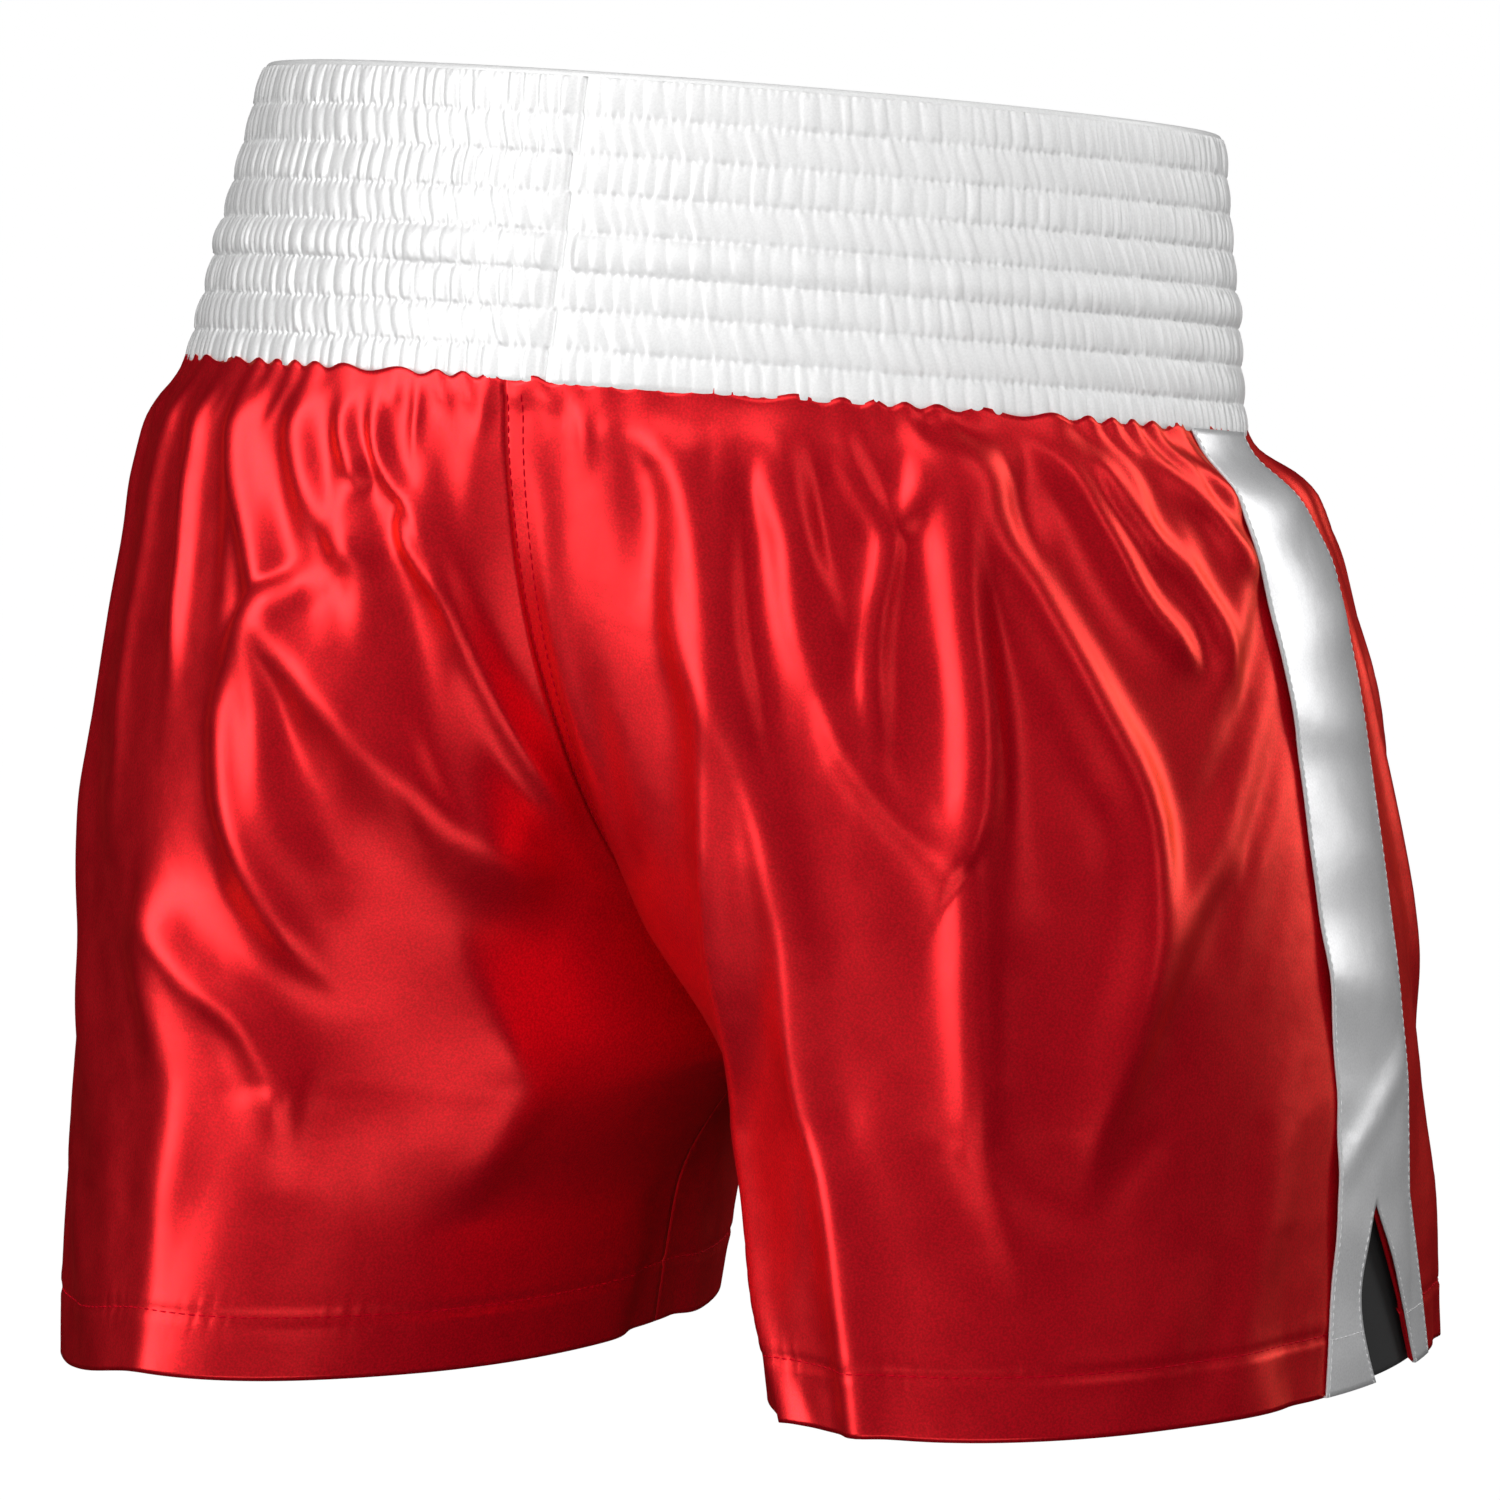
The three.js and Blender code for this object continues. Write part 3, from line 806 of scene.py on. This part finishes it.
def pleat_rows(rng, angle, swell):
    """The offsets of one channel's rows: round pleats between sharp creases, pinched at the threads."""
    widths = rng.uniform(0.65, 1.35, PLEATS)
    edges = np.concatenate([[0], np.cumsum(widths)])
    edges *= 2 * math.pi / edges[-1]
    heights = rng.uniform(0.35, 1.0, PLEATS)
    slant = rng.uniform(-0.3, 0.9) * 2 * math.pi / PLEATS
    start = rng.uniform(0, 2 * math.pi)
    broad = random_wave(rng, BROAD_WAVES, angle)
    fine = random_wave(rng, 2 * PLEATS, angle)
    rows = []
    for v in CHANNEL_ROWS:
        turned = (angle + start + slant * (v - 0.5)) % (2 * math.pi)
        k = np.clip(np.searchsorted(edges, turned, "right") - 1, 0, PLEATS - 1)
        phase = (turned - edges[k]) / (edges[k + 1] - edges[k])
        pleat = np.sin(math.pi * phase) ** PLEAT_POWER * heights[k]
        crown = math.sin(math.pi * v) ** CROWN_POWER if v > 0 else 0.0
        pinch = math.exp(-(min(v, 1 - v) / 0.10) ** 2)
        rows.append(crown * swell * (1 + 0.25 * broad) + 1.1 * pleat * (0.35 + 0.65 * crown ** 0.5)
                    + 0.45 * fine * pinch)
    return rows


def build_waistband():
    """Builds the band's outer sheet with its channels, then its inner sheet with the top fold."""
    rng = np.random.default_rng(7)
    angle = np.linspace(0, 2 * math.pi, BAND_COLUMNS, endpoint=False)
    from_seam = ((angle - SEAM_ANGLE + math.pi) % (2 * math.pi) - math.pi) * BAND_BOTTOM[0]
    down, offset = [], []
    for channel in range(CHANNELS):
        # The closing seam is a strip with hardly any pleats and a fine groove down its middle.
        seam_at = from_seam + SEAM_WANDER * rng.uniform(-1, 1)
        flat = 1 - 0.8 * np.exp(-(seam_at / SEAM_HALF) ** 4)
        groove = SEAM_GROOVE * np.exp(-(seam_at / SEAM_GROOVE_HALF) ** 2)
        for v, row in zip(CHANNEL_ROWS, pleat_rows(rng, angle, CHANNEL_SWELL[channel])):
            last = channel == CHANNELS - 1 and v == CHANNEL_ROWS[-1]
            sewn = LAST_ROW if last else 1.0
            down.append(np.full(BAND_COLUMNS, (channel + v) / CHANNELS))
            offset.append(BAND_HALF * sewn + (row * flat * sewn - groove) * MM)
    # The lower edge is turned in.
    for tucked, inset in ((1.0, 0.0003), (1.02, -0.0008)):
        down.append(np.full(BAND_COLUMNS, tucked))
        offset.append(np.full(BAND_COLUMNS, inset))
    outer = band_surface(np.array(down), angle, np.array(offset))
    rows = outer.shape[0]
    piece = make_mesh("waistband_outer", outer.reshape(-1, 3),
                      grid_faces(rows, BAND_COLUMNS, flip=True, wrap=True))
    finish_waistband(piece)

    angle = np.linspace(0, 2 * math.pi, BAND_COLUMNS // 2, endpoint=False)
    rows = []
    for step in np.linspace(0, math.pi, 8)[:-1]:
        lift = math.sin(step) * TOP_ROUND
        rows.append(band_surface(-lift / BAND_HEIGHT, angle, math.cos(step) * BAND_HALF))
    for inner_down in np.linspace(0, 1, 8 * CHANNELS + 1):
        wave = abs(math.sin(math.pi * CHANNELS * inner_down))
        ripple = random_wave(rng, PLEATS, angle)
        rows.append(band_surface(inner_down, angle, -BAND_HALF - wave * MM * (0.5 + 0.4 * ripple)))
    piece = make_mesh("waistband_inner", np.concatenate(rows),
                      grid_faces(len(rows), BAND_COLUMNS // 2, wrap=True))
    finish_waistband(piece)


def finish_waistband(piece):
    """Either sheet stands for the band's cover and for the elastics that lie between the two."""
    piece.data.materials.append(WHITE_SATIN)
    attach(piece, "root")
    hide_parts("waistband_cover", *[f"elastic_{k + 1}" for k in range(CHANNELS)])


# ---------------------------------------------------------------- stitches
STITCH = 0.0026
STITCH_GAP = 0.0008
THREAD = 0.00028
BACK_SEAM_STITCHES = (0.0012, 0.0062)  # how far the two rows lie from the back seam
EDGE_STITCH = 0.0015  # between the stripe's edges and their stitches
STITCH_SIDES = 6
# The rings of one stitch: how far along it each lies, its size and its lift, in threads.
STITCH_RINGS = np.array([
    (0.0, 0.35, -0.3),
    (0.12, 0.8, 0.15),
    (0.5, 1.0, 0.5),
    (0.88, 0.8, 0.15),
    (1.0, 0.35, -0.3),
])


def measure(path):
    """How far along a path each of its points lies."""
    return np.concatenate([[0], np.cumsum(np.linalg.norm(np.diff(path, axis=0), axis=1))])


def line_beside(points, normals, edge_column, distance):
    """The line on a grid that keeps a distance from one of its edge columns, and its normals."""
    order = slice(None) if edge_column == 0 else slice(None, None, -1)
    line, line_normals = [], []
    for row, row_normals in zip(points[:, order], normals[:, order]):
        run = measure(row)
        line.append([np.interp(distance, run, row[:, k]) for k in range(3)])
        line_normals.append([np.interp(distance, run, row_normals[:, k]) for k in range(3)])
    return np.array(line), np.array(line_normals)


def sew(name, rows, material, stitch=STITCH, gap=STITCH_GAP, thread=THREAD):
    """Rows of small stitches. Each row is a pair: its points and their normals."""
    sides, rings = STITCH_SIDES, STITCH_RINGS
    turn = np.linspace(0, 2 * math.pi, sides, endpoint=False)
    vertices, faces = [], []
    for path, normals in rows:
        run = measure(path)
        count = int(run[-1] / (stitch + gap))
        starts = np.arange(count) * (stitch + gap) + 0.5 * gap
        for start in starts:
            at = start + rings[:, 0] * stitch
            spine = np.stack([np.interp(at, run, path[:, k]) for k in range(3)], -1)
            up = np.stack([np.interp(at, run, normals[:, k]) for k in range(3)], -1)
            up /= np.linalg.norm(up, axis=1, keepdims=True)
            ahead = spine[-1] - spine[0]
            ahead /= np.linalg.norm(ahead)
            across = np.cross(up, ahead)
            base = len(vertices)
            for k, (_, size, lift) in enumerate(rings):
                middle = spine[k] + up[k] * lift * thread
                vertices.extend(middle + thread * size * (np.cos(a) * across[k] + 0.7 * np.sin(a) * up[k])
                                for a in turn)
            for k in range(len(rings) - 1):
                for i in range(sides):
                    a, b = base + k * sides + i, base + k * sides + (i + 1) % sides
                    faces.append((a, b, b + sides, a + sides))
            faces.append(tuple(base + i for i in reversed(range(sides))))
            faces.append(tuple(base + (len(rings) - 1) * sides + i for i in range(sides)))
    piece = make_mesh(name, vertices, faces)
    piece.data.materials.append(material)
    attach(piece, "root")


def thread_material(name, colour, metallic, gloss):
    """Sewing thread, with a faint change of tone along it."""
    material, tree, shader = new_material(name)
    coordinates = node(tree, "ShaderNodeTexCoord").outputs["Object"]
    ramp = node(tree, "ShaderNodeValToRGB")
    ramp.color_ramp.elements[0].color = (*[0.75 * c for c in colour], 1)
    ramp.color_ramp.elements[1].color = (*colour, 1)
    tree.links.new(noise(tree, coordinates, 3000, 1.0), ramp.inputs["Fac"])
    tree.links.new(ramp.outputs["Color"], shader.inputs["Base Color"])
    shader.inputs["Roughness"].default_value = 0.55
    shader.inputs["Metallic"].default_value = metallic
    shader.inputs["Specular IOR Level"].default_value = gloss
    return material


# ---------------------------------------------------------------- stage, light and camera
CAMERA_AZIMUTH = 204.27
CAMERA_ELEVATION = 7.33
CAMERA_ROLL = 0.98
CAMERA_DISTANCE = 8.0
LENS = 606.7
CAMERA_AIM_Z = -0.215
AIM_RIGHT, AIM_UP = 0.0033, 0.0102  # how far the aim lies from the middle axis, as the camera sees it
LIGHTS_AIM_Z = -0.2
FLOOR_DROP = 0.15  # below the hem
FLOOR_HALF = 30.0
BACKDROP_RADIUS = 60
WORLD_LIGHT = 0.26


def direction(azimuth, elevation):
    """A unit vector. Azimuth 0 is the wearer's front and 90 the wearer's left, in degrees."""
    a, e = math.radians(azimuth), math.radians(elevation)
    return Vector((math.sin(a) * math.cos(e), -math.cos(a) * math.cos(e), math.sin(e)))


def add_camera():
    """The camera, behind the shorts and on the wearer's right."""
    back = direction(CAMERA_AZIMUTH, CAMERA_ELEVATION)
    right = (-back).cross(Vector((0, 0, 1))).normalized()
    up = right.cross(-back)
    target = Vector((0, 0, CAMERA_AIM_Z)) + right * AIM_RIGHT + up * AIM_UP
    camera = bpy.data.objects.new("camera", bpy.data.cameras.new("camera"))
    camera.data.lens = LENS
    camera.data.sensor_width = 36
    camera.data.clip_end = 200
    axes = Matrix((right, up, back)).transposed()
    camera.matrix_world = Matrix.Translation(target + back * CAMERA_DISTANCE) @ (
        axes.to_4x4() @ Matrix.Rotation(math.radians(CAMERA_ROLL), 4, "Z"))
    bpy.context.scene.collection.objects.link(camera)
    bpy.context.scene.camera = camera


def add_softbox(name, azimuth, elevation, distance, size, power, mirrored=True, lighting=True):
    """A rectangular softbox that faces the shorts, for its reflection, its plain light or both."""
    light = bpy.data.lights.new(name, "AREA")
    light.shape = "RECTANGLE"
    light.size, light.size_y = size
    light.energy = power
    lamp = bpy.data.objects.new(name, light)
    middle = Vector((0, 0, LIGHTS_AIM_Z))
    lamp.location = middle + direction(azimuth, elevation) * distance
    lamp.rotation_euler = (middle - lamp.location).to_track_quat("-Z", "Y").to_euler()
    lamp.visible_glossy = mirrored
    lamp.visible_diffuse = lighting
    bpy.context.scene.collection.objects.link(lamp)


def stage_material(name):
    """Plain white whatever the light is."""
    material, tree, shader = new_material(name)
    shader.inputs["Base Color"].default_value = (0, 0, 0, 1)
    shader.inputs["Roughness"].default_value = 0.9
    shader.inputs["Emission Color"].default_value = (1, 1, 1, 1)
    shader.inputs["Emission Strength"].default_value = 1.0
    return material


def add_stage():
    """The white floor and backdrop, which neither light nor shade the shorts, and the world's light."""
    size = FLOOR_HALF
    floor = make_mesh("floor", [(-size, -size, 0), (size, -size, 0), (size, size, 0), (-size, size, 0)],
                      [(0, 1, 2, 3)], smooth=False)
    floor.location.z = HEM_Z - FLOOR_DROP
    floor.data.materials.append(stage_material("floor_paint"))
    bpy.ops.mesh.primitive_uv_sphere_add(radius=BACKDROP_RADIUS, segments=48, ring_count=24)
    backdrop = bpy.context.object
    backdrop.name = "backdrop"
    backdrop.data.materials.append(stage_material("backdrop_paint"))
    for piece in (floor, backdrop):
        piece.visible_diffuse = False
        piece.visible_glossy = False
        piece.visible_shadow = False
    world = bpy.data.worlds.new("world")
    bpy.context.scene.world = world
    world.use_nodes = True
    world.node_tree.nodes["Background"].inputs["Color"].default_value = (1, 1, 1, 1)
    world.node_tree.nodes["Background"].inputs["Strength"].default_value = WORLD_LIGHT
    world.cycles_visibility.glossy = False
    bpy.context.scene.view_settings.view_transform = "Standard"


# ---------------------------------------------------------------- assembly
form = add_form()
build_waistband()
panels = {}
for end, side, folds, seed in (
    ("back", "right", RIGHT_BACK_FOLDS, 11),
    ("back", "left", LEFT_BACK_FOLDS, 12),
    ("front", "right", drape_folds(21), 13),
    ("front", "left", drape_folds(22), 14),
):
    panel = f"{end}_panel_{side}"
    panels[panel] = build_panel(f"{panel}_cloth", panel, end == "front", side == "right", folds, seed)
if form:
    bpy.data.objects.remove(form)

RED_THREAD = thread_material("red_thread", (0.62, 0.0, 0.016), 0.4, 0.05)
WHITE_THREAD = thread_material("white_thread", (0.8, 0.8, 0.8), 0.0, 0.4)
hem_row = -1 - round(HEM_TURN / ROW_STEP)
red_rows = [(points[hem_row], normals[hem_row]) for points, normals in panels.values()]
# Two rows run down the back seam, on its right side, as far as the crotch.
points, normals = panels["back_panel_right"]
above_crotch = slice(2, int(CROTCH_DROP / ROW_STEP))
for distance in BACK_SEAM_STITCHES:
    line, line_normals = line_beside(points, normals, 0, distance)
    red_rows.append((line[above_crotch], line_normals[above_crotch]))
sew("red_stitches", red_rows, RED_THREAD)

for side, right in (("left", False), ("right", True)):
    points, normals, open_row = build_stripe(f"side_stripe_{side}_cloth", f"side_stripe_{side}", right)
    # A row down each edge of the stripe, and for each half one along its hem and one beside the vent.
    white_rows = [line_beside(points, normals, edge, EDGE_STITCH) for edge in (0, -1)]
    middle = points.shape[1] // 2
    for half, vent_edge in ((slice(None, middle), -1), (slice(middle, None), 0)):
        white_rows.append((points[hem_row, half], normals[hem_row, half]))
        beside_vent = points[open_row:, half], normals[open_row:, half]
        white_rows.append(line_beside(*beside_vent, vent_edge, EDGE_STITCH))
    sew(f"stripe_stitches_{side}", white_rows, WHITE_THREAD, stitch=0.002, thread=0.00022)
    build_inset(f"vent_inset_{side}_cloth", f"vent_inset_{side}", right)

add_camera()
add_softbox("key_left", CAMERA_AZIMUTH - 66, 15, 2.0, (1.1, 2.6), 44, lighting=False)
add_softbox("key_top", CAMERA_AZIMUTH - 42, 58, 2.2, (1.8, 1.2), 14)
add_softbox("key_right", CAMERA_AZIMUTH + 50, 30, 2.2, (0.35, 2.2), 6, lighting=False)
add_softbox("floor_bounce", CAMERA_AZIMUTH - 10, -42, 2.2, (2.4, 0.9), 10)
add_softbox("rim_right", CAMERA_AZIMUTH + 112, 20, 2.2, (0.9, 1.8), 16)
add_softbox("fill", CAMERA_AZIMUTH - 4, 26, 3.0, (2.4, 2.0), 50, mirrored=False)
add_stage()
